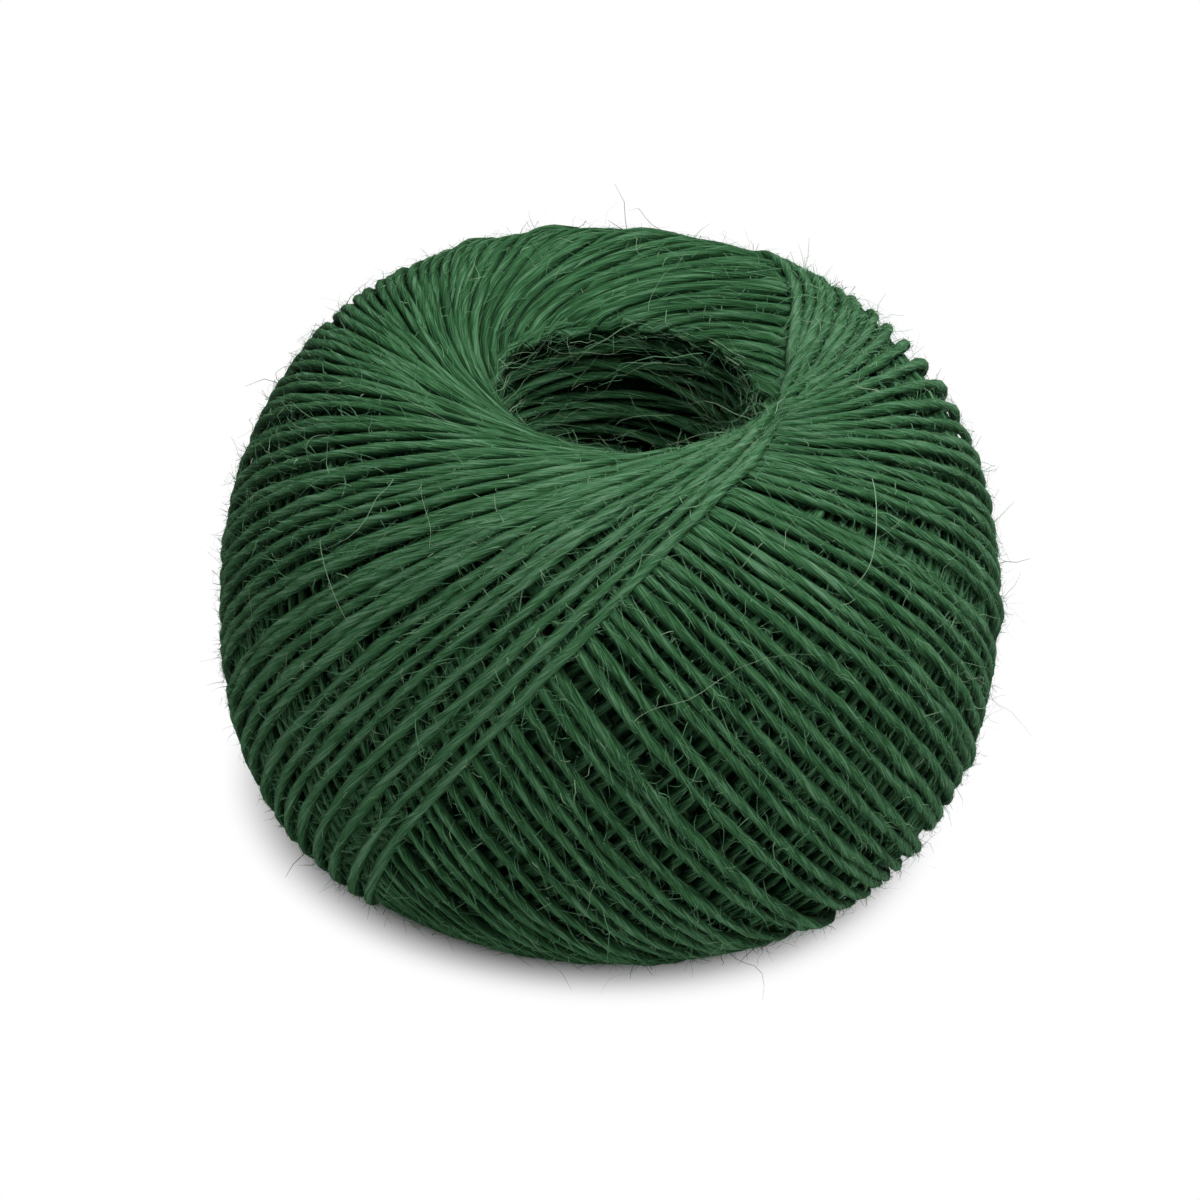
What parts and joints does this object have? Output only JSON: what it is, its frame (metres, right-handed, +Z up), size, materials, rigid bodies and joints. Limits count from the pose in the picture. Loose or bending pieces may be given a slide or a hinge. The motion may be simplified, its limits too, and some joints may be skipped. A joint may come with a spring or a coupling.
{
  "type": "ball of twine",
  "caption": "Round ball of dyed garden twine, machine wound in crossing bands about an open spindle hole, resting on a small flat ring.",
  "frame": {"origin": "centre of the bounding box's bottom, at the middle of the flat ring that the ball rests on", "axes": "+Z up along the spindle hole; the last-wound loops touch the hole 20 degrees from +X towards -Y"},
  "size_m": [0.0898, 0.0902, 0.0606],
  "materials": {
    "twine": "matt dyed bast-fibre twine, loosely spun and hairy"
  },
  "bodies": {
    "root": {"twine_ball": "twine"}
  },
  "joints": []
}
